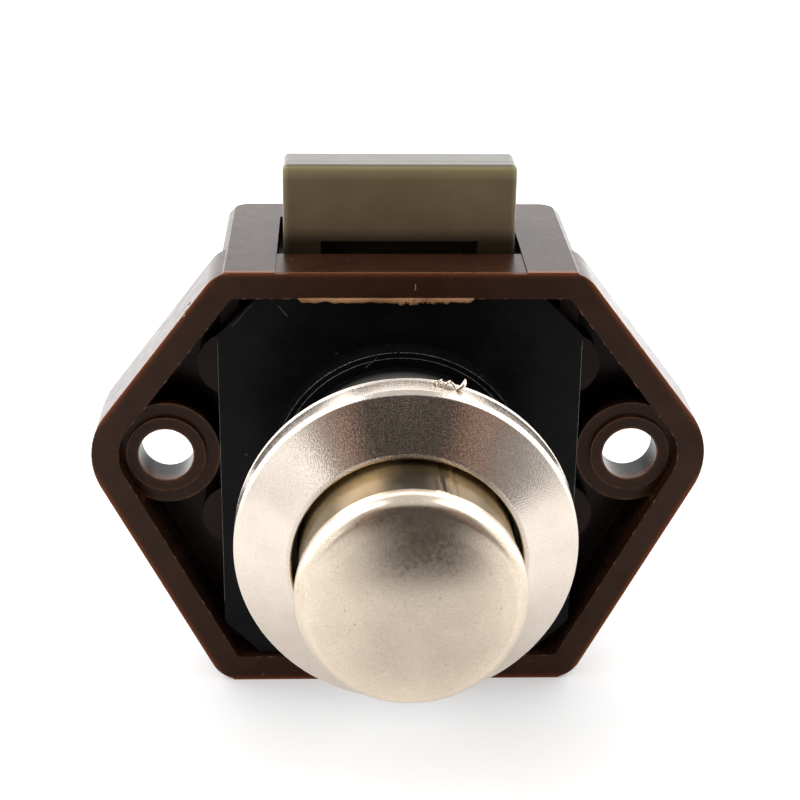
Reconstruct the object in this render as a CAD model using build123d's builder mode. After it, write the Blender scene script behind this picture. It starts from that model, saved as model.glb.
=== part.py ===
"""Push button cabinet lock for a furniture or caravan door, in millimetres.

The frame: X to the right, Y from the door's outer face into the cabinet, Z up. The origin is on the
axis of the neck, in the plane of the flange's rim, which is the face that meets the door panel.
The knob stands out as it does when the lock is open, and the spring bolt stands up.
Depths are counted into the cabinet from the rim, and heights out of the rim towards the viewer.
"""
import os
from math import atan2, cos, degrees, hypot

from build123d import *

os.makedirs("parts", exist_ok=True)

# Clearances, and the one overrun of all cuts
overrun = 1.0
slide_gap = 0.15
seat_gap = 0.1
stop_gap = 0.3
wall_gap = 0.3
pin_gap = 0.05

# Housing: a six-sided open flange with a box behind it
screw_pitch = 45.0
apex_radius = 7.0
apex_rise = 0.4
flange_top = 19.0
flange_bottom = 24.2
top_corner_setback = 1.5
bottom_corner_setback = 1.4
flange_corner_radius = 3.2
inner_corner_radius = 0.5
rim_wall = 2.6
flange_depth = 8.2
ear_floor = 1.8
box_depth = 23.4
box_wall = 1.8
box_back_wall = 2.0
box_top_wall = 2.0
box_floor_wall = 2.0
box_corner_radius = 2.2
box_edge = 0.6
flange_edge = 0.5

# Screw bosses in the ears
screw_hole_radius = 2.65
screw_ring_radius = 3.85
screw_boss_radius = 5.2
screw_ring_depth = 1.5
screw_ring_height = 0.45
counterbore_radius = 4.6
counterbore_depth = 3.1

# Posts that carry the insert plate, and the plate's pins in them
post_radius = 3.2
post_setback = 0.9
post_heights = (8.8, -7.2)
pin_radius = 0.9
pin_inset = 0.5
pin_length = 2.6

# Bolt guide rails on the inside of the box
rail_width = 2.0
rail_bottom_gap = 2.2

# Insert plate with its spigot and hollow neck
plate_face_depth = 0.6
plate_thickness = 2.4
plate_overhang = 0.2
plate_corner = 3.7
plate_corner_radius = 0.6
spigot_step = 1.4
spigot_length = 3.0
neck_wall = 1.1
neck_reach = 2.2
neck_edge = 0.3

# Rosette: a pressed shell with a threaded nut inside
panel_thickness = 16.2
rosette_overhang = 4.4
rosette_side = 3.3
rosette_shoulder = 0.45
rosette_height = 5.7
rosette_nose = 0.55
rosette_land = 1.3
shell_wall = 0.6
thread_gap = 0.1

# Knob: a pressed head on a rolled sleeve
knob_overhang = 0.35
knob_stand_out = 5.2
knob_side = 2.0
knob_crown = 1.3
knob_crown_steps = 4
knob_shoulder_width = 1.3
knob_shoulder_rise = 0.8
knob_shoulder_middle = 0.35
sleeve_radius = 9.35
sleeve_length = 9.6
sleeve_wall = 0.5
knob_travel = 8.5

# Carrier: the moulded core of the knob
carrier_core_radius = 4.6
carrier_flange_thickness = 2.0

# Plunger
guide_wall = 1.2
guide_pocket_floor = 3.0
guide_pocket_bottom = 3.6
collar_overhang = 0.95
collar_length = 1.4
collar_step = 2.3
shaft_radius = 5.2
shaft_back_gap = 2.9
spring_bore_radius = 4.0
spring_bore_depth = 14.0
track_flat_cut = 1.45
track_flat_half_width = 4.7
track_flat_setback = 0.6

# Knob screw and washer
washer_thickness = 0.6
screw_head_radius = 2.6
screw_head_length = 1.8
screw_slot_width = 0.6
screw_slot_depth = 0.8
screw_shank_radius = 1.5
screw_cover = 0.6

# Track follower wire and the track that it rides in
follower_wire_radius = 0.5
follower_pivot_depth = 2.4
follower_arm = 10.0
follower_gap = 0.25
follower_tip = 1.95
follower_leg = 4.2
follower_bend = 0.8
follower_swing = 1.8
track_floor_gap = 0.3
return_lane_offset = 1.9
return_lane_turn = 1.4
return_lane_run = 3.2
track_entry = 1.8

# Follower clip and its screws
clip_half_width = 5.0
clip_height = 5.8
clip_thickness = 0.5
clip_corner = 1.0
clip_screw_offset = 3.4
clip_screw_radius = 0.75
clip_screw_drop = 3.8
clip_screw_reach = 1.8
clip_head_radius = 1.4
clip_head_length = 0.8

# Bolt
bolt_side_step = 5.9
bolt_front = 6.5
bolt_back_gap = 3.7
bolt_rise = 8.4
bolt_land = 4.7
bolt_bevel_foot_rise = 0.4
bolt_leg_length = 3.2
bolt_body_clearance = 0.9
bolt_relief_side = 3.6
bolt_relief_rise = 1.0
bolt_window_gap = 0.4
bolt_edge_radius = 0.6
bolt_travel = 8.0
bolt_floor_gap = 4.2

# Slot for the bolt, and the core mark in the top in front of it
slot_side_gap = 0.6
slot_end_gap = 0.35
core_mark_depth = 0.15

# Springs with their seats
return_coil_radius = 3.4
return_wire_radius = 0.3
return_post_radius = 2.3
return_post_length = 3.9
bolt_coil_radius = 1.9
bolt_wire_radius = 0.25
bolt_spring_bore_radius = 2.4
bolt_spring_bore_depth = 6.8
bolt_pin_radius = 1.2
bolt_pin_height = 4.6

# Places that follow from the sizes above
screw_x = screw_pitch / 2
box_half_width = screw_x - screw_boss_radius - wall_gap
top_corner_offset = box_half_width - top_corner_setback
bottom_corner_offset = box_half_width - bottom_corner_setback
post_offset = box_half_width - post_setback
plate_half_width = box_half_width + plate_overhang
plate_back = plate_face_depth + plate_thickness
plate_top = flange_top - rim_wall - seat_gap
plate_bottom = flange_bottom - rim_wall - seat_gap
spigot_height = spigot_length - plate_face_depth
ear_floor_depth = flange_depth - ear_floor
cavity_half_width = box_half_width - box_wall
cavity_back = box_depth - box_back_wall
cavity_top = flange_top - box_top_wall
cavity_bottom = flange_bottom - box_floor_wall
neck_bore_radius = sleeve_radius + slide_gap
neck_radius = neck_bore_radius + neck_wall
neck_height = panel_thickness + neck_reach
spigot_radius = neck_radius + spigot_step
rosette_radius = neck_radius + rosette_overhang
rosette_face_height = panel_thickness + rosette_height
knob_radius = sleeve_radius + knob_overhang
knob_back_height = rosette_face_height + knob_stand_out
collar_radius = sleeve_radius + collar_overhang
track_flat = sleeve_radius - track_flat_cut
follower_drop = track_flat + follower_wire_radius + follower_gap
collar_bore_radius = collar_radius + slide_gap
sleeve_back_height = knob_back_height - sleeve_length
collar_front_height = collar_step - seat_gap
collar_back_height = collar_front_height - collar_length
shaft_end = cavity_back - knob_travel - shaft_back_gap
bore_floor_height = spring_bore_depth - shaft_end
washer_back_height = bore_floor_height - washer_thickness
knob_face_height = knob_back_height + knob_side + knob_crown
shoulder_height = knob_back_height + knob_side
carrier_front_height = shoulder_height - seat_gap
carrier_radius = sleeve_radius - sleeve_wall - seat_gap
track_flat_front = sleeve_back_height - track_flat_setback
rosette_bore_radius = knob_radius + slide_gap
cone_width = rosette_radius - rosette_shoulder - rosette_bore_radius - rosette_nose
cone_slope = (rosette_height - rosette_side) / cone_width
cone_drop = shell_wall * hypot(1, cone_slope)
bolt_half_width = box_half_width - bolt_side_step
bolt_relief_half_width = bolt_half_width - bolt_relief_side
bolt_back = cavity_back - bolt_back_gap
bolt_top = flange_top + bolt_rise
bolt_bevel_foot = flange_top + bolt_bevel_foot_rise
bolt_leg_bottom = flange_top - bolt_leg_length
bolt_relief_top = flange_top + bolt_relief_rise
bolt_body_bottom = cavity_bottom - bolt_travel - bolt_floor_gap
slot_half_width = bolt_half_width + slot_side_gap
bolt_body_front = knob_travel - collar_back_height + bolt_body_clearance
bolt_body_half_width = cavity_half_width - wall_gap
bolt_body_top = cavity_top - stop_gap
bolt_window = shaft_radius + bolt_window_gap
bolt_spring_offset = (bolt_body_half_width + bolt_window) / 2
rail_half_width = cavity_half_width - rail_width
rail_bottom = cavity_bottom - rail_bottom_gap
bolt_spring_depth = (bolt_body_front + bolt_back) / 2
follower_tip_height = follower_arm - follower_pivot_depth
track_depth = follower_tip + follower_wire_radius - (follower_drop - track_flat) + track_floor_gap
track_width = 2 * (follower_wire_radius + slide_gap)
clip_top = collar_bore_radius + follower_wire_radius
clip_screw_level = -clip_top - clip_screw_drop


def at_depth(depth):
    """The plane at that depth behind the rim, facing the viewer."""
    return Plane.XZ.offset(-depth)


def flange_outline(inset=0):
    """The six-sided outline drawn in by the inset: the hull of two apex and four corner circles."""
    corner = max(flange_corner_radius - inset, inner_corner_radius)
    with BuildSketch(Plane.XY) as outline:
        for side in (-1, 1):
            with Locations((side * screw_x, apex_rise)):
                Circle(apex_radius - inset)
            with Locations((side * top_corner_offset, flange_top - inset - corner)):
                Circle(corner)
            with Locations((side * bottom_corner_offset, corner + inset - flange_bottom)):
                Circle(corner)
        make_hull()
    return outline.sketch


def block(half_width, front, back, bottom, top, mode=Mode.ADD):
    """A rectangular block across the middle of the part, between two depths and two levels."""
    with BuildSketch(at_depth(front)) as face:
        with Locations((0, (bottom + top) / 2)):
            Rectangle(2 * half_width, top - bottom)
    extrude(face.sketch, amount=front - back, mode=mode)


def bar(radius, front, back, mode=Mode.ADD, places=((0, 0),)):
    """Round bars along Y between two depths, about the neck's axis or about the places given."""
    with BuildSketch(at_depth(front)) as face:
        with Locations(*places):
            Circle(radius)
    extrude(face.sketch, amount=front - back, mode=mode)


def save(piece, name):
    """Label one finished piece and write its file."""
    piece.part.label = name
    export_step(piece.part, f"parts/{name}.step")


screw_places = ((-screw_x, 0), (screw_x, 0))
post_places = [(side * post_offset, height) for side in (-1, 1) for height in post_heights]
pin_places = [(side * (post_offset - pin_inset), height) for side in (-1, 1) for height in post_heights]
clip_screw_places = ((-clip_screw_offset, clip_screw_level), (clip_screw_offset, clip_screw_level))
bolt_spring_places = ((-bolt_spring_offset, bolt_spring_depth), (bolt_spring_offset, bolt_spring_depth))

# Housing: flange and box in one moulding, open to the front, with the bolt's slot in its top
with BuildPart() as housing:
    with BuildSketch(at_depth(0)):
        add(flange_outline())
    extrude(amount=-flange_depth)
    chamfer(housing.faces().sort_by(Axis.Y)[-1].edges(), flange_edge)
    with BuildSketch(Plane.XY.offset(-flange_bottom)) as box_plan:
        with Locations((0, box_depth / 2)):
            Rectangle(2 * box_half_width, box_depth)
        fillet(box_plan.vertices().group_by(Axis.Y)[-1], box_corner_radius)
    extrude(amount=flange_bottom + flange_top)
    box_sides = housing.edges().filter_by(Axis.Y).group_by(SortBy.LENGTH)[-1]
    chamfer(box_sides, box_edge)
    # the recess of the plate, the pockets of the ears and the cavity of the box
    with BuildSketch(at_depth(-overrun)):
        add(flange_outline(rim_wall))
    extrude(amount=-overrun - plate_back, mode=Mode.SUBTRACT)
    with BuildSketch(at_depth(plate_back)):
        add(flange_outline(rim_wall))
        Rectangle(2 * box_half_width, 2 * (flange_top + flange_bottom), mode=Mode.SUBTRACT)
    extrude(amount=plate_back - ear_floor_depth, mode=Mode.SUBTRACT)
    block(cavity_half_width, plate_back, cavity_back, -cavity_bottom, cavity_top, Mode.SUBTRACT)
    # bosses with a raised ring for the fixing screws, counterbored from behind
    bar(screw_boss_radius, screw_ring_depth + screw_ring_height, ear_floor_depth, places=screw_places)
    bar(screw_ring_radius, screw_ring_depth, ear_floor_depth, places=screw_places)
    bar(screw_hole_radius, 0, flange_depth + overrun, Mode.SUBTRACT, screw_places)
    bar(counterbore_radius, flange_depth - counterbore_depth, flange_depth + overrun, Mode.SUBTRACT,
        screw_places)
    # posts that the plate rests on, bored for its pins
    bar(post_radius, plate_back, ear_floor_depth, places=post_places)
    bar(pin_radius + pin_gap, plate_back - overrun, ear_floor_depth, Mode.SUBTRACT, pin_places)
    # rails that guide the bolt at its front and back
    rail_places = [(side * (rail_half_width + cavity_half_width) / 2, (cavity_top - rail_bottom) / 2)
                   for side in (-1, 1)]
    rail_spans = ((ear_floor_depth, bolt_body_front - wall_gap), (bolt_back + wall_gap, cavity_back))
    for front, back in rail_spans:
        with BuildSketch(at_depth(front)):
            with Locations(*rail_places):
                Rectangle(rail_width, cavity_top + rail_bottom)
        extrude(amount=front - back)
    # seats of the springs
    bar(return_post_radius, cavity_back - return_post_length, cavity_back)
    with BuildSketch(Plane.XY.offset(-cavity_bottom)):
        with Locations(*bolt_spring_places):
            Circle(bolt_pin_radius)
    extrude(amount=bolt_pin_height)
    # slot of the bolt and the core mark in front of it
    block(slot_half_width, bolt_front - slot_end_gap, bolt_back + slot_end_gap, cavity_top - overrun,
          flange_top + overrun, Mode.SUBTRACT)
    block(slot_half_width, -overrun, bolt_front, flange_top - core_mark_depth, flange_top + overrun,
          Mode.SUBTRACT)
save(housing, "housing")

# Insert plate: chamfered plate, spigot and hollow neck, with the pins on its back
with BuildPart() as insert_plate:
    with BuildSketch(at_depth(plate_face_depth)) as plate_face:
        with Locations((0, (plate_top - plate_bottom) / 2)):
            Rectangle(2 * plate_half_width, plate_top + plate_bottom)
        chamfer(plate_face.vertices(), plate_corner)
        fillet(plate_face.vertices(), plate_corner_radius)
    extrude(amount=-plate_thickness)
    bar(spigot_radius, -spigot_height, plate_face_depth)
    bar(neck_radius, -neck_height, plate_face_depth)
    chamfer(insert_plate.edges().group_by(Axis.Y)[0], neck_edge)
    bar(pin_radius, plate_back, plate_back + pin_length, places=pin_places)
    bar(neck_bore_radius, -neck_height - overrun, plate_back + overrun, Mode.SUBTRACT)
    bar(collar_bore_radius, -collar_step, plate_back + overrun, Mode.SUBTRACT)
    # channel of the follower's pivot leg, open to the back
    block(follower_wire_radius + pin_gap, follower_pivot_depth - follower_wire_radius - pin_gap,
          plate_back + overrun, -follower_drop - follower_leg - seat_gap, 0, Mode.SUBTRACT)
    bar(clip_screw_radius + pin_gap, plate_back - clip_screw_reach - seat_gap, plate_back + overrun,
        Mode.SUBTRACT, clip_screw_places)
save(insert_plate, "insert_plate")

# Rosette: a pressed shell with a low cone, turned in at its bore
shell_inside_radius = rosette_radius - shell_wall
cone_foot = panel_thickness + rosette_side - cone_drop + cone_slope * (shell_wall - rosette_shoulder)
cone_top = cone_foot + cone_slope * (shell_inside_radius - rosette_bore_radius - shell_wall)
with BuildPart() as rosette:
    with BuildSketch(Plane.XY):
        with BuildLine():
            Polyline(
                (rosette_radius, -panel_thickness),
                (rosette_radius, rosette_shoulder - panel_thickness - rosette_side),
                (rosette_radius - rosette_shoulder, -panel_thickness - rosette_side),
                (rosette_bore_radius + rosette_nose, -rosette_face_height),
                (rosette_bore_radius, -rosette_face_height),
                (rosette_bore_radius, rosette_land - rosette_face_height),
                (rosette_bore_radius + shell_wall, rosette_land - rosette_face_height),
                (rosette_bore_radius + shell_wall, -cone_top),
                (shell_inside_radius, -cone_foot),
                (shell_inside_radius, -panel_thickness),
                close=True,
            )
        make_face()
    revolve(axis=Axis.Y)
save(rosette, "rosette")

# Threaded nut inside the rosette, which clamps the panel against the flange
nut_outside_radius = shell_inside_radius - seat_gap
nut_bore_radius = neck_radius + thread_gap
nut_face_height = cone_foot + cone_slope * (shell_inside_radius - nut_bore_radius) - seat_gap
with BuildPart() as rosette_nut:
    with BuildSketch(Plane.XY):
        with BuildLine():
            Polyline(
                (nut_bore_radius, -panel_thickness),
                (nut_outside_radius, -panel_thickness),
                (nut_outside_radius, seat_gap - cone_foot),
                (nut_bore_radius, -nut_face_height),
                close=True,
            )
        make_face()
    revolve(axis=Axis.Y)
save(rosette_nut, "rosette_nut")

# Knob: a pressed head with a crowned face in a few cones, turned in at its back over the sleeve's end
crown_half_width = knob_radius - knob_shoulder_width
crown_rise = knob_crown - knob_shoulder_middle
crown_radii = [crown_half_width * (1 - step / knob_crown_steps) for step in range(knob_crown_steps + 1)]
with BuildPart() as knob:
    with BuildSketch(Plane.XY):
        with BuildLine():
            Polyline(
                (0, -shoulder_height),
                (knob_radius - shell_wall, -shoulder_height),
                (knob_radius - shell_wall, -knob_back_height - shell_wall),
                (carrier_radius + seat_gap, -knob_back_height - shell_wall),
                (carrier_radius + seat_gap, -knob_back_height),
                (knob_radius, -knob_back_height),
                (knob_radius, knob_shoulder_rise - shoulder_height),
                (knob_radius - knob_shoulder_middle, -shoulder_height),
                *[(radius, crown_rise * (radius / crown_half_width)**2 - knob_face_height)
                  for radius in crown_radii],
                close=True,
            )
        make_face()
    revolve(axis=Axis.Y)
save(knob, "knob")

# Sleeve: a rolled tube that slides in the neck and is held between the head and the plunger
with BuildPart() as knob_sleeve:
    bar(sleeve_radius, -knob_back_height, -sleeve_back_height)
    bar(sleeve_radius - sleeve_wall, -knob_back_height - overrun, overrun - sleeve_back_height,
        Mode.SUBTRACT)
save(knob_sleeve, "knob_sleeve")

# Carrier: a core with a flange under the head's face, which the screw pulls onto the plunger
with BuildPart() as knob_carrier:
    bar(carrier_core_radius, -carrier_front_height, -sleeve_back_height)
    bar(carrier_radius, -carrier_front_height, carrier_flange_thickness - carrier_front_height)
    bar(screw_shank_radius, screw_cover - carrier_front_height, overrun - sleeve_back_height,
        Mode.SUBTRACT)
save(knob_carrier, "knob_carrier")

# Plunger: guide with a stop collar, and a hollow shaft that passes through the bolt
with BuildPart() as plunger:
    bar(sleeve_radius, -sleeve_back_height, -collar_back_height)
    # pocket that keeps the guide's wall thin, above the track only
    with BuildSketch(at_depth(-sleeve_back_height)) as pocket:
        Circle(sleeve_radius - guide_wall)
        Circle(carrier_core_radius, mode=Mode.SUBTRACT)
        with Locations((0, -guide_pocket_bottom - sleeve_radius)):
            Rectangle(2 * sleeve_radius, 2 * sleeve_radius, mode=Mode.SUBTRACT)
    extrude(pocket.sketch, amount=guide_pocket_floor + collar_front_height - sleeve_back_height,
            mode=Mode.SUBTRACT)
    bar(collar_radius, -collar_front_height, -collar_back_height)
    bar(shaft_radius, -collar_back_height, shaft_end)
    bar(spring_bore_radius, -bore_floor_height, shaft_end + overrun, Mode.SUBTRACT)
    bar(screw_shank_radius + seat_gap, -sleeve_back_height - overrun, overrun - bore_floor_height,
        Mode.SUBTRACT)
    # flat on the underside for the follower, with the track milled in it: one straight lane that the
    # wire follows as the knob goes in, and one that leads it back
    block(track_flat_half_width, -track_flat_front, -collar_back_height + overrun,
          -collar_radius - overrun, -track_flat, Mode.SUBTRACT)
    lane_start = (0, -follower_tip_height)
    swing_angle = follower_swing / follower_arm
    lane_end = (follower_swing, follower_pivot_depth - follower_arm * cos(swing_angle) - knob_travel)
    lane_turn = (-return_lane_offset, lane_end[1] + return_lane_turn)
    lane_back = (-return_lane_offset, lane_end[1] + return_lane_turn + return_lane_run)
    lane_join = (0, -follower_tip_height - track_entry)
    lanes = [(lane_start, lane_end), (lane_end, lane_turn), (lane_turn, lane_back),
             (lane_back, lane_join), (lane_join, lane_start)]
    with BuildSketch(Plane.XY.offset(-track_flat)):
        for (x0, y0), (x1, y1) in lanes:
            with Locations(((x0 + x1) / 2, (y0 + y1) / 2)):
                SlotCenterToCenter(hypot(x1 - x0, y1 - y0), track_width,
                                   rotation=degrees(atan2(y1 - y0, x1 - x0)))
    extrude(amount=track_depth, mode=Mode.SUBTRACT)
save(plunger, "plunger")

# Washer and screw that hold the knob on the plunger; the return spring seats on the washer
with BuildPart() as knob_washer:
    bar(spring_bore_radius - seat_gap, -bore_floor_height, -washer_back_height)
    bar(screw_shank_radius + seat_gap, -bore_floor_height - overrun, overrun - washer_back_height,
        Mode.SUBTRACT)
save(knob_washer, "knob_washer")

with BuildPart() as knob_screw:
    bar(screw_head_radius, -washer_back_height, screw_head_length - washer_back_height)
    bar(screw_shank_radius, screw_cover - carrier_front_height, -washer_back_height)
    head_back = screw_head_length - washer_back_height
    block(screw_head_radius + overrun, head_back - screw_slot_depth, head_back + overrun,
          -screw_slot_width / 2, screw_slot_width / 2, Mode.SUBTRACT)
save(knob_screw, "knob_screw")

# Track follower: one bent wire, with its tip up in the track and its leg down in the plate
with BuildPart() as track_follower:
    with BuildLine() as follower_path:
        Polyline(
            (0, -follower_tip_height, follower_tip - follower_drop),
            (0, -follower_tip_height, follower_bend - follower_drop),
            (0, follower_bend - follower_tip_height, -follower_drop),
            (0, follower_pivot_depth - follower_bend, -follower_drop),
            (0, follower_pivot_depth, -follower_drop - follower_bend),
            (0, follower_pivot_depth, -follower_drop - follower_leg),
        )
    with BuildSketch(Plane.XY.offset(follower_tip - follower_drop)):
        with Locations((0, -follower_tip_height)):
            Circle(follower_wire_radius)
    sweep(path=follower_path.line, transition=Transition.RIGHT)
save(track_follower, "track_follower")

# Follower clip and its two screws on the back of the insert plate
with BuildPart() as follower_clip:
    with BuildSketch(at_depth(plate_back)):
        with Locations((0, -clip_top - clip_height / 2)):
            RectangleRounded(2 * clip_half_width, clip_height, clip_corner)
    extrude(amount=-clip_thickness)
    bar(clip_screw_radius + seat_gap, plate_back - overrun, plate_back + clip_thickness + overrun,
        Mode.SUBTRACT, clip_screw_places)
save(follower_clip, "follower_clip")

clip_back = plate_back + clip_thickness
with BuildPart() as clip_screws:
    bar(clip_screw_radius, plate_back - clip_screw_reach, clip_back, places=clip_screw_places)
    bar(clip_head_radius, clip_back, clip_back + clip_head_length, places=clip_screw_places)
save(clip_screws, "clip_screws")

# Bolt: bevelled head, wider body that stops under the housing's top, window for the plunger's shaft
with BuildPart() as bolt:
    with BuildSketch(Plane.YZ.offset(-bolt_half_width)) as bolt_side:
        with BuildLine():
            Polyline(
                (bolt_front, bolt_leg_bottom),
                (bolt_back, bolt_leg_bottom),
                (bolt_back, bolt_bevel_foot),
                (bolt_front + bolt_land, bolt_top),
                (bolt_front, bolt_top),
                close=True,
            )
        make_face()
    extrude(amount=2 * bolt_half_width)
    outside = bolt.edges().filter_by(lambda edge: edge.center().Z > bolt_bevel_foot - bolt_land)
    fillet(outside, bolt_edge_radius)
    block(bolt_relief_half_width, bolt_front - overrun, bolt_body_front, 0, bolt_relief_top,
          Mode.SUBTRACT)
    block(bolt_body_half_width, bolt_body_front, bolt_back, -bolt_body_bottom, bolt_body_top)
    block(bolt_window, bolt_body_front - overrun, bolt_back + overrun, -bolt_window,
          bolt_window + bolt_travel, Mode.SUBTRACT)
    with BuildSketch(Plane.XY.offset(-bolt_body_bottom)):
        with Locations(*bolt_spring_places):
            Circle(bolt_spring_bore_radius)
    extrude(amount=bolt_spring_bore_depth, mode=Mode.SUBTRACT)
save(bolt, "bolt")

# Springs
with BuildPart() as return_spring:
    bar(return_coil_radius + return_wire_radius, -washer_back_height, cavity_back)
    bar(return_coil_radius - return_wire_radius, -washer_back_height - overrun, cavity_back + overrun,
        Mode.SUBTRACT)
save(return_spring, "return_spring")

for name, place in zip(("bolt_spring_left", "bolt_spring_right"), bolt_spring_places):
    with BuildPart() as bolt_spring:
        with BuildSketch(Plane.XY.offset(-cavity_bottom)):
            with Locations(place):
                Circle(bolt_coil_radius + bolt_wire_radius)
                Circle(bolt_coil_radius - bolt_wire_radius, mode=Mode.SUBTRACT)
        extrude(amount=cavity_bottom - bolt_body_bottom + bolt_spring_bore_depth)
    save(bolt_spring, name)
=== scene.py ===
"""Push button cabinet lock, dressed on its CAD frame.

X runs to the right, Y through the door into the cabinet and Z up, from the point where the neck's
axis meets the plane of the housing's rim. The script's own sizes are in millimetres, and meshes are
made in metres. The turned pieces are lathe profiles about the neck's axis, which is the Y axis, with
heights counted from that plane towards the viewer.
"""
from math import acos, atan2, cos, hypot, pi, radians, sin

import bmesh
import bpy
import numpy as np
from mathutils import Matrix, Vector


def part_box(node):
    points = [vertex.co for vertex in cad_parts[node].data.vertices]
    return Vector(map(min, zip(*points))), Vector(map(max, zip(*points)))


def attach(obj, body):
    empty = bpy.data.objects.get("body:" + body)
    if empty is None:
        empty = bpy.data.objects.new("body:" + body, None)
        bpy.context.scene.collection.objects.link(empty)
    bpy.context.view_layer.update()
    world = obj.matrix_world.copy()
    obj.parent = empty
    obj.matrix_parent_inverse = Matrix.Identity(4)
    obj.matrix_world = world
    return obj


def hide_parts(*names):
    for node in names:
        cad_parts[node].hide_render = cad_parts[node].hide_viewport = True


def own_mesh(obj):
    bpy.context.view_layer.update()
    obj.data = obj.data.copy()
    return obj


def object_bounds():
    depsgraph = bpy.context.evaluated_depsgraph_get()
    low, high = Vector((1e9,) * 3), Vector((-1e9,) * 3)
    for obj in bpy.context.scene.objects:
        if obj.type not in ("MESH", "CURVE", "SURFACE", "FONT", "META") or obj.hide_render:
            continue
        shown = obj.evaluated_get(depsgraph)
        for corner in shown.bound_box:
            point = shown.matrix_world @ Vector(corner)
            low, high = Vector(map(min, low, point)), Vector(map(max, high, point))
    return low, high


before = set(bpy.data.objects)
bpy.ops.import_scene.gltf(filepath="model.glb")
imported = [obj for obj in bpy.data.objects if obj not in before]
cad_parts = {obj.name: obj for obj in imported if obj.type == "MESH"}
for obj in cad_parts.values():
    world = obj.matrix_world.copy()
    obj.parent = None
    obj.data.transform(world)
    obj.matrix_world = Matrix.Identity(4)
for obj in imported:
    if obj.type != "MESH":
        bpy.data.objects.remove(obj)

cad_low, cad_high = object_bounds()

MM = 0.001

# Sizes of the solids that the finer pieces and the masks follow
rim_top = 19.0
rim_bottom = -24.2
rim_wall = 2.6
side_corner_x = 22.5
side_corner_z = 0.4
side_corner_radius = 7.0
top_corner_x = 15.5
bottom_corner_x = 15.6
corner_radius = 3.2
flange_depth = 8.2
screw_x = 22.5
plate_face = 0.6
plate_half_width = 17.2
sleeve_foot = 17.5
return_spring_seat = 21.4
return_spring_length = 24.8
bolt_spring_seat = -22.2
bolt_spring_length = 19.0


# Mesh makers
def mesh_piece(name, points, quads, body, material, ends=()):
    """An object at the origin, riding on a body, from points in millimetres, quads and end faces."""
    mesh = bpy.data.meshes.new(name)
    mesh.from_pydata((points * MM).tolist(), [], [*quads.tolist(), *ends])
    work = bmesh.new()
    work.from_mesh(mesh)
    bmesh.ops.remove_doubles(work, verts=work.verts, dist=1e-7)
    bmesh.ops.dissolve_degenerate(work, edges=work.edges, dist=1e-7)
    bmesh.ops.recalc_face_normals(work, faces=work.faces)
    work.to_mesh(mesh)
    work.free()
    mesh.polygons.foreach_set("use_smooth", np.full(len(mesh.polygons), True))
    mesh.materials.append(material)
    mesh.update()
    piece = bpy.data.objects.new(name, mesh)
    bpy.context.scene.collection.objects.link(piece)
    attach(piece, body)
    return piece


def grid_faces(rows, columns, wrap_rows=False, wrap_columns=False):
    """Quads of a grid of rows by columns: each joins a point with its next row and column."""
    row = np.arange(rows if wrap_rows else rows - 1)
    column = np.arange(columns if wrap_columns else columns - 1)
    r, c = (a.ravel() for a in np.meshgrid(row, column, indexing="ij"))
    r1, c1 = (r + 1) % rows, (c + 1) % columns
    return np.stack([r * columns + c, r1 * columns + c, r1 * columns + c1, r * columns + c1], axis=1)


def rounded(corners, arcs):
    """A profile of (radius, height, rounding) corners with each corner turned into an arc.

    The arc touches both sides at rounding / tan(half the corner's angle) from the corner, and its
    points follow the circle through those two places about the centre on the corner's bisector.
    """
    corners = np.array(corners, dtype=float)
    out = [corners[0, :2]]
    for before, here, after in zip(corners[:-2], corners[1:-1], corners[2:]):
        a = before[:2] - here[:2]
        b = after[:2] - here[:2]
        a /= np.linalg.norm(a)
        b /= np.linalg.norm(b)
        half = np.arccos(np.clip(a @ b, -1, 1)) / 2
        nearly_straight = half > pi / 2 - 0.02
        if here[2] <= 0 or nearly_straight:
            out.append(here[:2])
            continue
        reach = here[2] / np.tan(half)
        start, end = here[:2] + a * reach, here[:2] + b * reach
        centre = here[:2] + (a + b) / np.linalg.norm(a + b) * here[2] / np.sin(half)
        u, v = start - centre, end - centre
        turn = np.arccos(np.clip(u @ v / (here[2] ** 2), -1, 1))
        t = np.linspace(0, 1, arcs)[:, None]
        out.extend((np.sin((1 - t) * turn) * u + np.sin(t * turn) * v) / np.sin(turn) + centre)
    out.append(corners[-1, :2])
    return np.array(out)


def lathe(name, profile, body, material, around=256, closed=True, wave=None, lean=(0.0, 0.0)):
    """A turned piece about the Y axis: (r, h) goes to (r cos a, -h, r sin a).

    wave(a, r, h) may give a radius that depends on the angle. The lean moves each ring sideways by its
    share per millimetre of height above the sleeve's foot.
    """
    angle = np.linspace(0, 2 * pi, around, endpoint=False)
    radius, turn = np.meshgrid(profile[:, 0], angle, indexing="ij")
    height = np.repeat(profile[:, 1][:, None], around, axis=1)
    if wave is not None:
        radius = wave(turn, radius, height)
    shift = np.clip(height - sleeve_foot, 0, None)
    x = radius * np.cos(turn) + lean[0] * shift
    z = radius * np.sin(turn) + lean[1] * shift
    points = np.stack([x, -height, z], axis=-1).reshape(-1, 3)
    quads = grid_faces(len(profile), around, wrap_rows=closed, wrap_columns=True)
    return mesh_piece(name, points, quads[:, ::-1], body, material)


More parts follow.
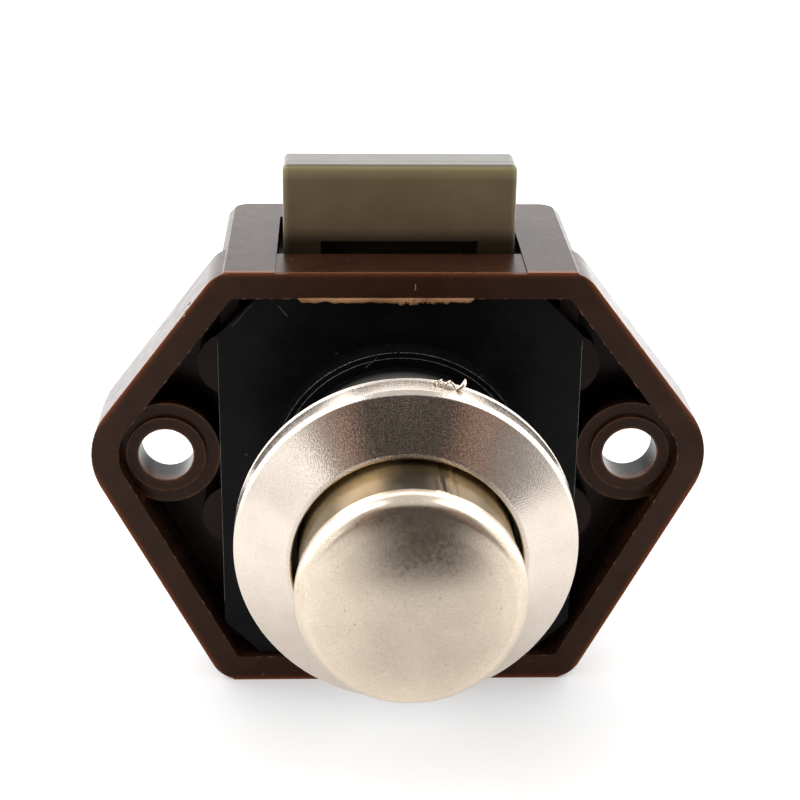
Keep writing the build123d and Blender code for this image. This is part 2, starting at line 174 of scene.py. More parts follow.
def tube(name, path, radius, body, material, sides):
    """A round wire along a path: rings of the radius in the plane across the path at each point.

    The ring's axes are carried from point to point by taking out the part along the path.
    """
    path = np.asarray(path, dtype=float)
    radius = np.broadcast_to(radius, len(path))
    along = np.gradient(path, axis=0)
    along /= np.linalg.norm(along, axis=1)[:, None]
    side = np.cross(along[0], [0.3, 0.2, 1.0])
    sides_out = []
    for step in along:
        side = side - step * (side @ step)
        side /= np.linalg.norm(side)
        sides_out.append(side.copy())
    u = np.array(sides_out)
    v = np.cross(along, u)
    angle = np.linspace(0, 2 * pi, sides, endpoint=False)
    ring = u[:, None] * np.cos(angle)[None, :, None] + v[:, None] * np.sin(angle)[None, :, None]
    points = path[:, None] + ring * radius[:, None, None]
    quads = grid_faces(len(path), sides, wrap_columns=True)
    first_end = list(range(sides))[::-1]
    last_end = [(len(path) - 1) * sides + k for k in range(sides)]
    return mesh_piece(name, points.reshape(-1, 3), quads, body, material, (first_end, last_end))


def smooth_noise(count, waves, seed):
    """A closed line of noise: sines of whole wave numbers with seeded phases, scaled to 0 to 1."""
    source = np.random.default_rng(seed)
    t = np.linspace(0, 2 * pi, count, endpoint=False)
    total = sum(np.sin(k * t + source.uniform(0, 2 * pi)) / (1 + abs(k - waves) / waves)
                for k in source.integers(waves // 4 + 1, 3 * waves, 24))
    return (total - total.min()) / (total.max() - total.min())


# Node trees
class Board:
    """A node tree, with a short method for each kind of node that the finishes use."""

    def __init__(self, tree):
        self.tree = tree

    def put(self, socket, value):
        """Link a socket to another one, or set its own value, with full alpha for a colour."""
        if isinstance(value, bpy.types.NodeSocket):
            self.tree.links.new(value, socket)
        elif socket.type == "RGBA":
            socket.default_value = (*value, 1.0)
        else:
            socket.default_value = value

    def add(self, kind, inputs, output=0, **settings):
        """Add a node with its settings, fill its inputs by name or number, and give one output."""
        node = self.tree.nodes.new("ShaderNode" + kind)
        for name, value in settings.items():
            setattr(node, name, value)
        for label, value in inputs.items():
            self.put(node.inputs[label], value)
        return node.outputs[output]

    def parts(self, vector):
        """The x, y and z of a vector."""
        node = self.tree.nodes.new("ShaderNodeSeparateXYZ")
        self.put(node.inputs[0], vector)
        return node.outputs["X"], node.outputs["Y"], node.outputs["Z"]

    def grey(self, value):
        """A colour with the value in all of its channels."""
        return self.add("CombineXYZ", {"X": value, "Y": value, "Z": value})

    def math(self, operation, first, second=0.0):
        return self.add("Math", {0: first, 1: second}, operation=operation)

    def product(self, *masks):
        """All the masks multiplied."""
        result = masks[0]
        for mask in masks[1:]:
            result = self.math("MULTIPLY", result, mask)
        return result

    def away(self, value, centre=0.0):
        """How far the value is from the centre, on either side."""
        return self.math("ABSOLUTE", self.math("SUBTRACT", value, centre))

    def reach(self, across, up):
        """The distance from the origin in a plane: the length of (across, up)."""
        flat = self.add("CombineXYZ", {"X": across, "Y": up})
        return self.add("VectorMath", {0: flat}, "Value", operation="LENGTH")

    def spread(self, value, low, high, to_low=0.0, to_high=1.0):
        """The value carried from low..high to to_low..to_high, and held at both ends."""
        return self.add("MapRange", {"Value": value, "From Min": low, "From Max": high,
                                     "To Min": to_low, "To Max": to_high}, "Result")

    def noise(self, place, scale, detail=3.0, rough=0.55):
        return self.add("TexNoise", {"Vector": place, "Scale": scale, "Detail": detail,
                                     "Roughness": rough}, "Fac")

    def dots(self, place, scale, core, rim):
        """Round dots, one to a cell: 1 within the core's share of a cell, 0 from the rim's on."""
        distance = self.add("TexVoronoi", {"Vector": place, "Scale": scale}, "Distance")
        return self.spread(distance, core, rim, 1, 0)

    def blend(self, factor, first, second, kind="MIX"):
        return self.add("Mix", {0: factor, 6: first, 7: second}, 2, data_type="RGBA", blend_type=kind)

    def bump(self, height, strength, distance, normal=None):
        inputs = {"Height": height, "Strength": strength, "Distance": distance}
        if normal is not None:
            inputs["Normal"] = normal
        return self.add("Bump", inputs)

    def ramp(self, value, stops):
        """A colour ramp through (position, colour or grey value) stops in rising order."""
        node = self.tree.nodes.new("ShaderNodeValToRGB")
        self.put(node.inputs["Fac"], value)
        elements = node.color_ramp.elements
        for element, (position, color) in zip(elements, (stops[0], stops[-1])):
            element.position = position
            element.color = (*(np.ones(3) * color), 1.0)
        for position, color in stops[1:-1]:
            elements.new(position).color = (*(np.ones(3) * color), 1.0)
        return node.outputs["Color"]


class Retouch(Board):
    """The board of a finished material, with the surface's own x, y and z in millimetres."""

    def __init__(self, material):
        super().__init__(material.node_tree)
        self.shader = self.tree.nodes["Principled BSDF"]
        self.place = self.tree.nodes["Texture Coordinate"].outputs["Object"]
        scaled = self.add("VectorMath", {0: self.place, "Scale": 1 / MM}, operation="SCALE")
        self.x, self.y, self.z = self.parts(scaled)

    def source(self, label):
        """The socket that feeds one of the shader's own."""
        return self.shader.inputs[label].links[0].from_socket

    def tint(self, mask, shade, kind="MIX"):
        """Mix a shade over the base colour, or multiply the colour by it, where the mask says."""
        color = self.blend(mask, self.source("Base Color"), shade, kind)
        self.put(self.shader.inputs["Base Color"], color)


# Node groups for the two kinds of surface
surface_outputs = {"Color": "Color", "Roughness": "Float", "Normal": "Vector"}


def new_group(name, inputs):
    """An empty node group with named sockets: its board, its given values and its results."""
    tree = bpy.data.node_groups.new(name, "ShaderNodeTree")
    for sockets, way in ((inputs, "INPUT"), (surface_outputs, "OUTPUT")):
        for label, kind in sockets.items():
            tree.interface.new_socket(name=label, in_out=way, socket_type="NodeSocket" + kind)
    given = tree.nodes.new("NodeGroupInput").outputs
    result = tree.nodes.new("NodeGroupOutput").inputs
    return Board(tree), given, result


def moulded_group():
    """Moulded plastic: soft cloudiness, rare pale specks of dust and fine grain."""
    board, given, result = new_group("moulded_plastic", {
        "Vector": "Vector", "Base": "Color", "Light": "Color", "Speck": "Color", "Speck Amount": "Float",
        "Grain Depth": "Float", "Roughness": "Float"})
    place = given["Vector"]
    cloud = board.spread(board.noise(place, 260, 4), 0.35, 0.7)
    color = board.blend(cloud, given["Base"], given["Light"])
    rare = board.spread(board.noise(place, 620, 2), 0.62, 0.7)
    speck = board.product(board.dots(place, 900, 0.06, 0.16), rare, given["Speck Amount"])
    board.put(result["Color"], board.blend(speck, color, given["Speck"]))
    drift = board.spread(board.noise(place, 700, 2), 0.3, 0.7, -0.02, 0.03)
    board.put(result["Roughness"], board.math("ADD", given["Roughness"], drift))
    grain = board.noise(place, 5200, 3, 0.6)
    board.put(result["Normal"], board.bump(grain, 1.0, given["Grain Depth"]))
    return board.tree


def metal_group():
    """Satin metal: faint cloudiness, sharp grain and turning rings about the Y axis."""
    board, given, result = new_group("satin_metal", {
        "Vector": "Vector", "Base": "Color", "Light": "Color", "Fleck Low": "Float", "Fleck High": "Float",
        "Grit Depth": "Float", "Turning Strength": "Float", "Roughness": "Float"})
    place = given["Vector"]
    x, y, z = board.parts(place)
    turning = board.noise(board.add("CombineXYZ", {"X": board.reach(x, z), "Y": y}), 7000, 2, 0.7)
    grain = board.noise(place, 9500, 0, 0.5)
    cloud = board.spread(board.noise(place, 340, 4), 0.3, 0.75)
    color = board.blend(cloud, given["Base"], given["Light"])
    fleck = board.spread(grain, 0.3, 0.7, given["Fleck Low"], given["Fleck High"])
    board.put(result["Color"], board.blend(1.0, color, board.grey(fleck), "MULTIPLY"))
    drift = board.spread(board.noise(place, 2600), 0.3, 0.7, -0.03, 0.05)
    board.put(result["Roughness"], board.math("ADD", given["Roughness"], drift))
    normal = board.bump(grain, 0.6, given["Grit Depth"])
    board.put(result["Normal"], board.bump(turning, given["Turning Strength"], 0.000003, normal))
    return board.tree


# Finishes
def finish(name, group, values, metallic=0.0, specular=0.5):
    """A material whose colour, roughness and normal come from a group with these values."""
    material = bpy.data.materials.new(name)
    material.use_nodes = True
    board = Board(material.node_tree)
    shader = board.tree.nodes["Principled BSDF"]
    inner = board.tree.nodes.new("ShaderNodeGroup")
    inner.node_tree = group
    board.put(inner.inputs["Vector"], board.add("TexCoord", {}, "Object"))
    for label, value in values.items():
        board.put(inner.inputs[label], value)
    for label, socket in (("Color", "Base Color"), ("Roughness", "Roughness"), ("Normal", "Normal")):
        board.put(shader.inputs[socket], inner.outputs[label])
    shader.inputs["Metallic"].default_value = metallic
    shader.inputs["Specular IOR Level"].default_value = specular
    return material


moulded_plastic = moulded_group()
satin_metal = metal_group()


def plastic(name, base, light, speck, speck_amount=0.3, grain=0.00001, rough=0.4, specular=0.5):
    return finish(name, moulded_plastic, {
        "Base": base, "Light": light, "Speck": speck, "Speck Amount": speck_amount, "Grain Depth": grain,
        "Roughness": rough}, specular=specular)


def metal(name, base, light, rough, grit=0.00001, fleck=(0.92, 1.06), turning=0.12, metallic=1.0):
    return finish(name, satin_metal, {
        "Base": base, "Light": light, "Fleck Low": fleck[0], "Fleck High": fleck[1], "Grit Depth": grit,
        "Turning Strength": turning, "Roughness": rough}, metallic=metallic)


def black_plastic(name):
    return plastic(name, (0.003, 0.003, 0.0034), (0.006, 0.006, 0.0066), (0.35, 0.2, 0.12),
                   grain=0.000005, rough=0.28, specular=0.08)


brown = plastic("brown_moulding", (0.029, 0.0118, 0.0062), (0.040, 0.0165, 0.0088), (0.5, 0.25, 0.12),
                grain=0.000003, rough=0.28, specular=0.10)
olive = plastic("olive_moulding", (0.118, 0.086, 0.043), (0.140, 0.102, 0.053), (0.3, 0.26, 0.18), 0.12,
                grain=0.000008, rough=0.32, specular=0.26)
black = black_plastic("black_moulding")
neck_black = black_plastic("neck_moulding")
flash = plastic("mould_flash", (0.22, 0.10, 0.035), (0.42, 0.22, 0.10), (0.6, 0.4, 0.25))
painted_edge_glow = plastic("edge_bead", (0.13, 0.055, 0.024), (0.22, 0.10, 0.045), (0.6, 0.4, 0.25))
wear_and_highlight = plastic("edge_wear_and_highlight", (0.06, 0.06, 0.06), (0.17, 0.17, 0.17), (0.4, 0.4, 0.4))
satin = metal("satin_nickel", (0.63, 0.555, 0.48), (0.70, 0.62, 0.545), 0.13, 0.000015, (0.93, 1.07))
satin_warm = metal("satin_nickel_warm", (0.63, 0.535, 0.43), (0.72, 0.62, 0.50), 0.21, 0.000004,
                   (0.90, 1.06))
rolled = metal("rolled_sleeve", (0.34, 0.26, 0.155), (0.46, 0.36, 0.22), 0.30, metallic=0.8)
steel = metal("bright_steel", (0.55, 0.55, 0.56), (0.64, 0.64, 0.65), 0.3, turning=0.0)

# Brown moulding: a painted orange glow, standing for light through its thin outer edges, by the distance
# past the nearest outer side
case = Retouch(brown)
far_x = case.away(case.x)
past_side = case.math("MAXIMUM", case.math("SUBTRACT", case.z, rim_top),
                      case.math("SUBTRACT", rim_bottom, case.z))
for corner_x, corner_z in ((top_corner_x, rim_top - corner_radius),
                           (bottom_corner_x, rim_bottom + corner_radius)):
    run, rise = corner_x - side_corner_x, corner_z - side_corner_z
    slant = atan2(abs(rise), run) - acos((side_corner_radius - corner_radius) / hypot(run, rise))
    out_x = cos(slant)
    out_z = sin(slant) if rise > 0 else -sin(slant)
    reach = out_x * side_corner_x + out_z * side_corner_z + side_corner_radius
    side = case.math("ADD", case.math("MULTIPLY", far_x, out_x), case.math("MULTIPLY", case.z, out_z))
    past_side = case.math("MAXIMUM", past_side, case.math("SUBTRACT", side, reach))
glow = case.product(case.spread(past_side, -0.8, 0.1), case.spread(case.y, 0.05, 1.2, 1, 0))
case.tint(case.math("POWER", glow, 3.0), (0.34, 0.080, 0.018))

# Brown moulding: painted shade, darker in the recess inside the flange
case.tint(case.product(case.spread(past_side, 0.3 - rim_wall, -3.0, 0, 0.75),
                       case.spread(case.y, 2.2, 3.2),
                       case.spread(case.y, flange_depth - 0.1, flange_depth, 1, 0)),
          (0.008, 0.004, 0.0025))

# Brown moulding: painted highlights, pale orange rings along the edges round the screw holes
from_screw = case.reach(case.math("SUBTRACT", far_x, screw_x), case.z)
near_face = case.product(case.spread(case.y, 2.2, 3.0, 1, 0), case.spread(case.y, 0.4, 0.8),
                         case.spread(case.noise(case.place, 700, 2), 0.35, 0.65, 0.1, 0.9))
for radius, width, amount in ((2.68, 0.16, 1.0), (3.8, 0.14, 0.45), (5.15, 0.2, 0.35)):
    line = case.spread(case.away(from_screw, radius), 0, width, amount, 0)
    case.tint(case.product(line, near_face), (0.30, 0.12, 0.05))

# Bolt: a painted glow paler towards its edges and the top of its front face, a painted grey sheen on top,
# painted shade in a crease, and painted shade about the relief at its foot
bolt = Retouch(olive)
far_x = bolt.away(bolt.x)
painted_edge_highlight = bolt.math("MAXIMUM", bolt.spread(far_x, 13.3, 14.8, 0, 0.8),
                 bolt.spread(bolt.z, 25.9, 27.3, 0, 0.9))
bolt.tint(painted_edge_highlight, (0.25, 0.215, 0.105))
bolt.tint(bolt.spread(bolt.z, 27.2, 27.34, 0, 0.9), (0.085, 0.080, 0.068))
bolt.tint(bolt.product(bolt.spread(bolt.z, 27.2, 27.35),
                       bolt.spread(bolt.away(bolt.y, 8.1), 0.08, 0.25, 0.85, 0)),
          (0.05, 0.04, 0.02))
bolt.tint(bolt.product(bolt.spread(bolt.z, 21.3, 19.9, 0, 0.85), bolt.spread(far_x, 12.4, 11.2)),
          (0.010, 0.0085, 0.005))

# Neck: a duller, paler skin in front of the plate, and painted gold-brown light on top of its front end,
# standing for the lit sleeve in the shaded gap
neck = Retouch(neck_black)
neck.tint(neck.spread(neck.y, -3.5, -5.0), (0.085, 0.081, 0.074))
neck.tint(neck.product(neck.spread(neck.y, -16.0, -17.0), neck.spread(neck.z, 2.5, 5.0)),
          (0.24, 0.17, 0.09))

# Clamping ring: grainier in its upper part, and duller on its side wall
ring = Retouch(satin)
radius = ring.reach(ring.x, ring.z)
upper = ring.product(ring.spread(ring.z, 6.0, 10.5), ring.spread(radius, 14.3, 14.6, 1, 0),
                     ring.spread(ring.away(ring.x), 5.0, 9.0, 1, 0.1))
grains = ring.spread(ring.noise(ring.place, 8500, 0, 0.5), 0.36, 0.64, 0.68, 1.34)
ring.tint(upper, ring.grey(grains), "MULTIPLY")
dull = ring.spread(radius, 14.86, 14.94, 0, 0.11)
ring.put(ring.shader.inputs["Roughness"], ring.math("ADD", ring.source("Roughness"), dull))

# Sleeve: painted light and shade in stripes by the angle in degrees, with painted light near the ring and
# darker towards the head
sleeve = Retouch(rolled)
half_turns = sleeve.math("DIVIDE", sleeve.math("ARCTAN2", sleeve.z, sleeve.x), pi)
wobble = sleeve.spread(sleeve.noise(sleeve.place, 420, 2), 0.3, 0.7, -0.008, 0.008)
stripe_stops = (
    (19.8, 0.40), (36, 0.46), (46, 0.31), (60, 0.31), (69, 0.36), (71, 0.17), (78, 0.15), (84, 0.080),
    (93, 0.090), (99, 0.22), (108, 0.48), (117, 0.47), (125, 0.38), (133, 0.31), (148, 0.30), (157, 0.23),
    (176.4, 0.20))
stripes = sleeve.ramp(sleeve.math("ADD", half_turns, wobble),
                      [(degrees / 180, amount) for degrees, amount in stripe_stops])
near_head = sleeve.ramp(sleeve.spread(sleeve.y, -21.0, -27.0), [
    (0, 1), (0.12, 0.85), (0.20, 0.55), (0.27, 0.47), (0.43, 0.25), (0.63, 0.14), (1, 0.11)])
painted_light_and_shade = sleeve.blend(1.0, stripes, near_head, "MULTIPLY")
sleeve.tint(1.0, sleeve.blend(1.0, painted_light_and_shade, (8.0, 7.6, 6.6), "MULTIPLY"), "MULTIPLY")

# Knob: fine brownish pits
knob = Retouch(satin_warm)
knob.tint(knob.product(knob.dots(knob.place, 1300, 0.08, 0.20),
                       knob.spread(knob.noise(knob.place, 500, 2), 0.50, 0.62, 0, 0.55)),
          (0.30, 0.22, 0.15))

# Finishes on the CAD nodes
for material, names in ((brown, ["housing"]), (neck_black, ["insert_plate"]), (olive, ["bolt"]),
                        (black, ["plunger", "rosette_nut", "knob_carrier"]),
                        (satin, ["rosette"]), (satin_warm, ["knob"]), (rolled, ["knob_sleeve"]),
                        (steel, ["knob_washer", "knob_screw", "track_follower", "follower_clip",
                                 "clip_screws", "return_spring", "bolt_spring_left",
                                 "bolt_spring_right"])):
    for name in names:
        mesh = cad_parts[name].data
        mesh.materials.clear()
        mesh.materials.append(material)

# Clamping ring
ring_profile = rounded([
    (10.0, 20.62, 0), (10.45, 20.62, 0.1), (10.45, 21.18, 0.1), (14.4, 18.9, 0.2), (14.4, 16.2, 0.02),
    (14.78, 16.2, 0.12), (15.03, 16.42, 0.12), (14.92, 16.72, 0.08), (14.78, 16.86, 0.08),
    (15.02, 17.1, 0.15), (14.97, 18.9, 0.25), (14.72, 19.35, 0.5), (10.4, 21.85, 0.12),
    (10.0, 21.91, 0.1), (9.86, 21.72, 0.1), (9.86, 20.62, 0.02), (10.0, 20.62, 0)], 7)
ring_piece = lathe("clamping_ring", ring_profile[:-1], "case", satin)
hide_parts("rosette")

# Knob head, whose crown is a part of a large ball
crown_radius = 37.6
crown_top = 30.4
crown = np.linspace(0, 7.4, 26)
crown_height = crown_top - (crown_radius - np.sqrt(crown_radius ** 2 - crown ** 2))
knob_corners = [(r, h, 0) for r, h in zip(crown, crown_height)] + [
    (9.66, 29.1, 1.6), (9.69, 27.26, 0.12), (9.5, 27.1, 0.1), (8.85, 27.1, 0.05), (8.85, 27.7, 0.05),
    (9.1, 27.7, 0.05), (9.1, 29.0, 0.1), (0, 29.0, 0)]
play = (0.011, 0.005)
knob_piece = lathe("push_button", rounded(knob_corners, 9), "push_knob", satin_warm,
                   closed=False, lean=play)
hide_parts("knob")

# Rolled sleeve
sleeve_outside = 9.33
sleeve_inside = 8.86
sleeve_top = 27.12
seam_angle = radians(70)
seam_radius = 9.35
seam_slant = 0.12
seam_height = 22.0


def sleeve_seam(turn, radius, height):
    """The rolled seam: the radius, less a narrow bell curve of the distance from a line that slants a
    little with the height, plus a wider and lower bell curve beside that line."""
    off = (turn - seam_angle) * seam_radius - seam_slant * (height - seam_height)
    groove = 0.2 * np.exp(-(off / 0.12) ** 2)
    lip = 0.05 * np.exp(-((off - 0.35) / 0.25) ** 2)
    return radius - groove + lip


sleeve_profile = rounded([
    (9.1, sleeve_foot, 0), (sleeve_outside, sleeve_foot, 0.08), (sleeve_outside, sleeve_top, 0.05),
    (sleeve_inside, sleeve_top, 0.05), (sleeve_inside, sleeve_foot, 0.08), (9.1, sleeve_foot, 0)], 5)
sleeve_piece = lathe("button_sleeve", sleeve_profile[:-1], "push_knob", rolled, 720,
                     wave=sleeve_seam, lean=play)
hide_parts("knob_sleeve")


# Coil springs, built at one length, though the real ones shorten as the joints move
coil_steps = 26


def coil(name, radius, wire, length, turns, place, upward):
    """A coil from its seat: (R cos a, s, R sin a) about its axis, with closed turns at both ends.

    The rise s runs from wire to length - wire. Over the first and last turn it grows by a wire's
    radius, and in between it grows evenly.
    """
    t = np.linspace(0, 1, turns * coil_steps)
    angle = 2 * pi * turns * t
    end = 1.0 / turns
    flat = np.clip((t - end) / (1 - 2 * end), 0, 1)
    closed = wire * (np.minimum(t, end) + np.maximum(t - 1 + end, 0)) * turns
    rise = wire + (length - 4 * wire) * flat + closed
    across = radius * np.cos(angle)
    aside = radius * np.sin(angle)
    path = np.stack([across, aside, rise] if upward else [across, -rise, aside], axis=1)
    return tube(name, path + place, wire, "case", steel, 8)


return_coil = coil("return_coil", 3.4, 0.3, return_spring_length, 11, (0, return_spring_seat, 0), False)
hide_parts("return_spring")
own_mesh(return_coil)
for side in ("left", "right"):
    low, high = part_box(f"bolt_spring_{side}")
    middle = (low + high) / 2 / MM
    bolt_coil = coil(f"bolt_coil_{side}", 1.9, 0.25, bolt_spring_length, 13,
                     (middle[0], middle[1], bolt_spring_seat), True)
    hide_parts(f"bolt_spring_{side}")
    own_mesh(bolt_coil)


# Slivers of metal on the ring's rim and at the sleeve's seam
def sliver(name, start, end, bend, radius, body):
    """A sliver: a wire along start + (end - start) t, lifted by 4 bend t (1 - t), whose radius follows
    sin(pi t) ** 0.45 and so fades to both ends."""
    t = np.linspace(0, 1, 22)[:, None]
    start, end = np.array(start), np.array(end)
    path = start + (end - start) * t + 4 * t * (1 - t) * np.array(bend)
    fade = np.sin(pi * np.clip(t[:, 0], 0.04, 0.96)) ** 0.45
    return tube(name, path, radius * fade, body, satin, 8)


for index, (start, end, bend, radius) in enumerate([
        ((2.05, -17.2, 14.9), (2.6, -17.5, 15.1), (0, 0, 0.1), 0.09),
        ((2.45, -17.6, 14.72), (2.9, -17.2, 15.18), (-0.1, 0, 0.05), 0.12),
        ((2.75, -17.3, 15.1), (3.3, -17.6, 14.7), (0.1, -0.1, 0), 0.11),
        ((3.05, -17.6, 14.65), (3.6, -17.2, 15.08), (0, -0.1, 0.1), 0.13),
        ((3.4, -17.2, 15.0), (3.95, -17.6, 14.52), (0.1, 0, 0.1), 0.12),
        ((4.05, -17.7, 14.48), (4.85, -17.1, 15.15), (0.16, -0.1, -0.14), 0.24)]):
    sliver(f"ring_burr_{index + 1}", start, end, bend, radius, "case")
for index, (start, end, bend) in enumerate([
        ((2.0, -27.07, 9.34), (2.35, -27.07, 9.42), (0, 0, 0.04)),
        ((2.25, -27.07, 9.18), (2.45, -27.07, 9.42), (0.04, 0, 0)),
        ((2.45, -27.07, 9.38), (2.85, -27.07, 9.12), (0, 0, 0.03)),
        ((2.75, -27.07, 9.14), (3.05, -27.07, 9.2), (0, 0, 0.04))]):
    sliver(f"button_burr_{index + 1}", start, end, bend, 0.08, "push_knob")


# Flash and crumbs on the housing's rim, and its edges tinted with a painted orange glow
def flange_outline(inset, steps):
    """The flange's outline drawn in by the inset, in (x, z): for each direction the farthest point of
    its six corner circles, then evenly spaced along the line that joins them."""
    corner = max(corner_radius - inset, 0.5)
    circles = np.array([(side * x, z, r) for side in (-1, 1) for x, z, r in (
        (side_corner_x, side_corner_z, side_corner_radius - inset),
        (top_corner_x, rim_top - inset - corner, corner),
        (bottom_corner_x, rim_bottom + inset + corner, corner))])
    angle = np.linspace(0, 2 * pi, 1440, endpoint=False)
    way = np.stack([np.cos(angle), np.sin(angle)], axis=1)
    best = np.argmax(circles[:, :2] @ way.T + circles[:, 2:], axis=0)
    points = circles[best, :2] + circles[best, 2:] * way
    points = np.vstack([points, points[:1]])
    run = np.concatenate([[0], np.cumsum(np.linalg.norm(np.diff(points, axis=0), axis=1))])
    even = np.linspace(0, run[-1], steps, endpoint=False)
    return np.stack([np.interp(even, run, points[:, 0]), np.interp(even, run, points[:, 1])], axis=1)


def edge_bead(name, inset, radius, wander, seed):
    """A fine rounded edge round the rim, tinted lighter orange as a painted glow: a closed tube along the
    outline, its section a circle whose radius is (1 - wander + wander noise) of the full one."""
    steps = 1600
    depth = 0.04
    line = flange_outline(inset, steps)
    size = radius * (1 - wander + wander * smooth_noise(steps, 90, seed))
    along = np.roll(line, -1, axis=0) - np.roll(line, 1, axis=0)
    along /= np.linalg.norm(along, axis=1)[:, None]
    out = np.stack([along[:, 1], -along[:, 0]], axis=1)
    angle = np.linspace(0, 2 * pi, 6, endpoint=False)
    x = line[:, 0, None] + out[:, 0, None] * size[:, None] * np.cos(angle)
    y = depth + size[:, None] * np.sin(angle)
    z = line[:, 1, None] + out[:, 1, None] * size[:, None] * np.cos(angle)
    points = np.stack([x, y, z], axis=-1).reshape(-1, 3)
    quads = grid_faces(steps, 6, wrap_rows=True, wrap_columns=True)
    return mesh_piece(name, points, quads, "case", painted_edge_glow)


edge_bead("rim_outer_edge", 0.05, 0.07, 0.6, 3)
edge_bead("rim_inner_edge", rim_wall - 0.03, 0.06, 0.8, 8)


def flash_strip(name, start, end, drop, seed, waves=3):
    """Flash left along the inside of the rim's top: a thin strip in five rows from start to end, whose
    lower edge hangs by (0.55 + 0.45 noise) of the drop and whose ends taper."""
    count = 200
    level = rim_top - rim_wall + 0.02
    x = np.linspace(start, end, count)
    taper = np.clip(np.minimum(x - start, end - x) / 0.4, 0.05, 1)
    drop = drop * (0.55 + 0.45 * smooth_noise(count, waves, seed)) * taper
    curve = 0.10 * smooth_noise(count, 5, seed + 1)
    rows = [(-0.05 - curve * 0.3, np.full(count, level + 0.12)), (-0.10 - curve, level - drop * 0.5),
            (-0.06 - curve, level - drop), (0.04 - curve, level - drop * 0.5),
            (0.05 - curve * 0.3, np.full(count, level + 0.05))]
    points = np.stack([np.stack([x, y, z], axis=1) for y, z in rows]).reshape(-1, 3)
    first_end = [row * count for row in range(5)]
    last_end = [row * count + count - 1 for row in reversed(range(5))]
    quads = grid_faces(5, count, wrap_rows=True)
    return mesh_piece(name, points, quads, "case", flash, (first_end, last_end))


flash_strip("rim_flash_left", -9.6, 1.4, 0.42, 21)
flash_strip("rim_flash_middle", -0.6, 2.4, 0.62, 5, 2)
flash_strip("rim_flash_right", 2.0, 6.8, 0.5, 34)
tube("rim_scratch", [(1.25, -0.02, 17.25), (1.33, -0.06, 17.5), (1.3, -0.02, 17.85)], 0.05, "case",
     flash, 6)
for index, (x, z) in enumerate(((-20.25, 14.7), (-19.75, 15.9), (-20.05, 15.2))):
    tube(f"rim_crumb_{index + 1}", [(x, -0.05, z), (x + 0.12, -0.14, z + 0.1), (x + 0.2, -0.02, z + 0.2)],
         0.07, "case", flash, 6)


# Wear, pale edge lines and painted highlights on the black moulding
def pale_line(name, path, radius, seed):
    """A fine pale line, for wear and painted highlights: a wire along a path, whose radius is (0.35 + 0.65
    noise) of the full one.
    """
    size = radius * (0.35 + 0.65 * smooth_noise(len(path), 40, seed))
    return tube(name, path, size, "case", wear_and_highlight, 5)


wear_steps = 240
# Painted highlights along the spigot's two edges
arc = np.linspace(radians(8), radians(172), wear_steps)
for index, (radius, level) in enumerate(((11.98, 2.38), (11.45, 2.41))):
    path = np.stack([radius * np.cos(arc), np.full(wear_steps, -level), radius * np.sin(arc)], axis=1)
    pale_line(f"spigot_edge_highlight_{index + 1}", path, 0.05, 11 + index)
level = np.linspace(-15.5, 12.0, wear_steps)
for index, side in enumerate((-1, 1)):
    across = np.full(wear_steps, side * (plate_half_width - 0.02))
    path = np.stack([across, np.full(wear_steps, plate_face + 0.01), level], axis=1)
    pale_line(f"plate_edge_line_{index + 1}", path, 0.045, 17 + index)
t = np.linspace(0, 1, 60)
for index, (x0, z0, x1, z1, y) in enumerate([
        (-3.29, 10.5, -2.27, 11.5, -2.42), (-11.44, 15.5, -10.54, 14.5, plate_face - 0.02),
        (-13.8, 15.7, -15.8, 13.5, plate_face - 0.02)]):
    z = z0 + (z1 - z0) * t + 0.05 * np.sin(7 * t)
    path = np.stack([x0 + (x1 - x0) * t, np.full(len(t), y), z], axis=1)
    pale_line(f"face_scratch_{index + 1}", path, 0.04, 23 + index)

# Camera: its place in millimetres, its turn in radians, its focal length and centre in pixels
photo_width = 800
focal_length = 1819.06
centre_x, centre_y = 395.79, 398.17
place = Vector((-6.0306, -159.8527, 71.6789)) * MM
yaw, pitch, roll = 0.0352, 0.3871, 0.0117
ahead = Vector((sin(yaw) * cos(pitch), cos(yaw) * cos(pitch), -sin(pitch)))
right = Vector((cos(yaw), -sin(yaw), 0))
upward = right.cross(ahead)
level_right = right * cos(roll) + upward * sin(roll)
level_up = upward * cos(roll) - right * sin(roll)
camera_data = bpy.data.cameras.new("photo_view")
camera = bpy.data.objects.new("photo_view", camera_data)
bpy.context.scene.collection.objects.link(camera)
turn = Matrix((level_right, level_up, -ahead)).transposed().to_4x4()
camera.matrix_world = Matrix.Translation(place) @ turn
camera_data.sensor_width = 36.0
camera_data.lens = focal_length / photo_width * 36.0
camera_data.shift_x = (photo_width / 2 - centre_x) / photo_width
camera_data.shift_y = (centre_y - photo_width / 2) / photo_width
camera_data.clip_start = 0.01
camera_data.clip_end = 10
bpy.context.scene.camera = camera

# White floor: dark in front and bright behind for mirror rays, and lifted to white for the camera
paper = bpy.data.materials.new("white_paper")
paper.use_nodes = True
board = Board(paper.node_tree)
shader = board.tree.nodes["Principled BSDF"]
board.put(shader.inputs["Base Color"], (0.92, 0.92, 0.92))
shader.inputs["Roughness"].default_value = 0.9
shader.inputs["Specular IOR Level"].default_value = 0.0
unlit = board.add("BsdfDiffuse", {"Color": (0.05, 0.045, 0.04)})
rays = board.tree.nodes.new("ShaderNodeLightPath").outputs
x, y, z = board.parts(board.add("TexCoord", {}, "Object"))
front = board.math("MULTIPLY", y, -1.0)
aside = board.away(board.math("DIVIDE", x, board.math("MAXIMUM", front, 0.01)), 0.09)
dark = board.product(board.spread(front, 0.078, 0.118), board.spread(aside, 0.14, 0.42, 1, 0))
dim = board.product(board.spread(front, 0.03, 0.05, 0, 0.39), board.spread(aside, 0.15, 0.6, 1, 0))
dark = board.product(board.math("MAXIMUM", dark, dim), rays["Is Glossy Ray"])
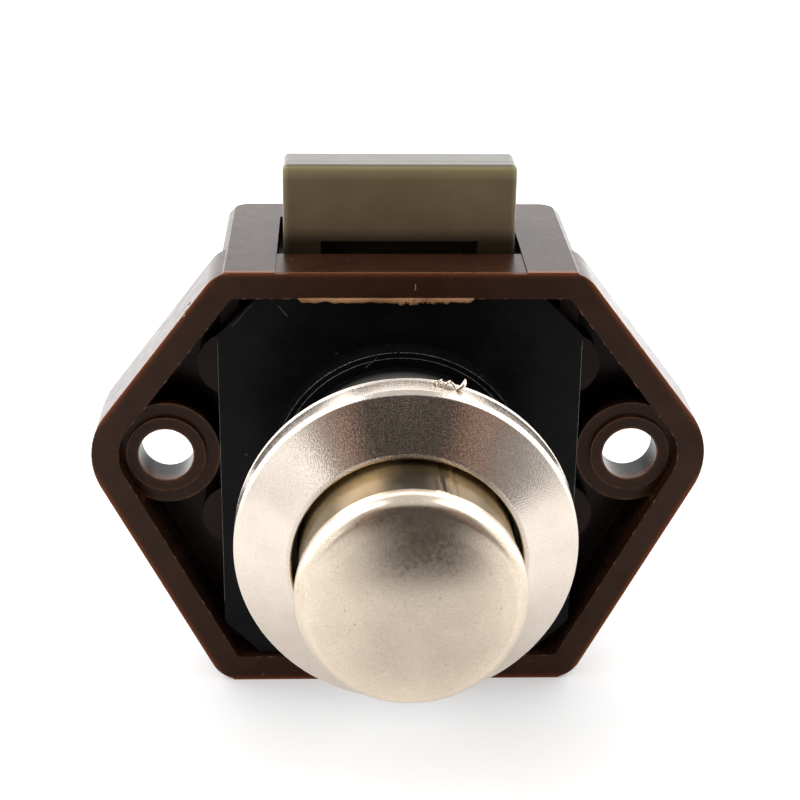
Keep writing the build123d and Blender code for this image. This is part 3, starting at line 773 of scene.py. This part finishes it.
mixed = board.add("MixShader", {0: dark, 1: shader.outputs[0], 2: unlit})
lift = board.product(rays["Is Camera Ray"], 0.17)
sweep = board.product(board.spread(y, 0.03, 0.15, 0, 1.5), rays["Is Glossy Ray"])
glow = board.add("Emission", {"Strength": board.math("ADD", lift, sweep)})
surface = board.add("AddShader", {0: mixed, 1: glow})
board.put(board.tree.nodes["Material Output"].inputs["Surface"], surface)
floor_level = cad_low.z
floor_half = 3
floor_mesh = bpy.data.meshes.new("floor")
floor_mesh.from_pydata([(floor_half * x, floor_half * y, floor_level)
                        for x, y in ((-1, -1), (1, -1), (1, 1), (-1, 1))], [], [(0, 1, 2, 3)])
floor_mesh.materials.append(paper)
floor = bpy.data.objects.new("floor", floor_mesh)
bpy.context.scene.collection.objects.link(floor)

# Soft lamps at both sides, above
for name, side, power in (("top_left", -1, 0.78), ("top_right", 1, 0.6)):
    lamp_data = bpy.data.lights.new(name, "AREA")
    lamp_data.shape = "RECTANGLE"
    lamp_data.size, lamp_data.size_y = 0.22, 0.30
    lamp_data.energy = power
    lamp = bpy.data.objects.new(name, lamp_data)
    bpy.context.scene.collection.objects.link(lamp)
    lamp.location = (0.28 * side, -0.02, 0.34)
    lamp.rotation_mode = "QUATERNION"
    lamp.rotation_quaternion = (Vector((0, -0.01, 0)) - lamp.location).to_track_quat("-Z", "Y")

# Studio: bright behind and overhead, dark in front with warm flanks, a softbox, white for the camera
world = bpy.data.worlds.new("studio")
bpy.context.scene.world = world
world.use_nodes = True
studio = Board(world.node_tree)
way = studio.add("TexCoord", {}, "Generated")
rays = studio.tree.nodes.new("ShaderNodeLightPath").outputs
x, y, z = studio.parts(way)
aside = studio.math("SUBTRACT", x, studio.spread(z, 0.1, 0.5, 0.09, 0))
tone = studio.ramp(studio.spread(aside, -1, 1), [
    (0.10, 0.70), (0.18, (0.34, 0.33, 0.32)), (0.25, (0.215, 0.165, 0.145)), (0.325, (0.16, 0.11, 0.09)),
    (0.35, (0.046, 0.041, 0.037)), (0.67, (0.046, 0.041, 0.037)), (0.70, (0.13, 0.087, 0.073)),
    (0.77, (0.20, 0.145, 0.12)), (0.82, (0.15, 0.14, 0.135)), (0.87, 0.26), (0.91, 0.68)])
tone = studio.blend(studio.spread(y, -0.45, 0.35), tone, (1.18, 1.18, 1.18))
overhead = studio.spread(rays["Is Glossy Ray"], 0, 1, 0.35, 0.41)
tone = studio.blend(studio.spread(z, 0.70, 0.86), tone, overhead)
softbox_way = (-0.656, -0.706, 0.265)
towards = studio.add("VectorMath", {0: way, 1: softbox_way}, "Value", operation="DOT_PRODUCT")
tone = studio.blend(studio.spread(towards, 0.9925, 0.997), tone, (0.85, 0.85, 0.85))
tone = studio.blend(rays["Is Camera Ray"], tone, (0.55, 0.55, 0.55))
background = studio.tree.nodes["Background"]
studio.put(background.inputs["Color"], tone)
background.inputs["Strength"].default_value = 2.0

bpy.context.scene.view_settings.view_transform = "Standard"
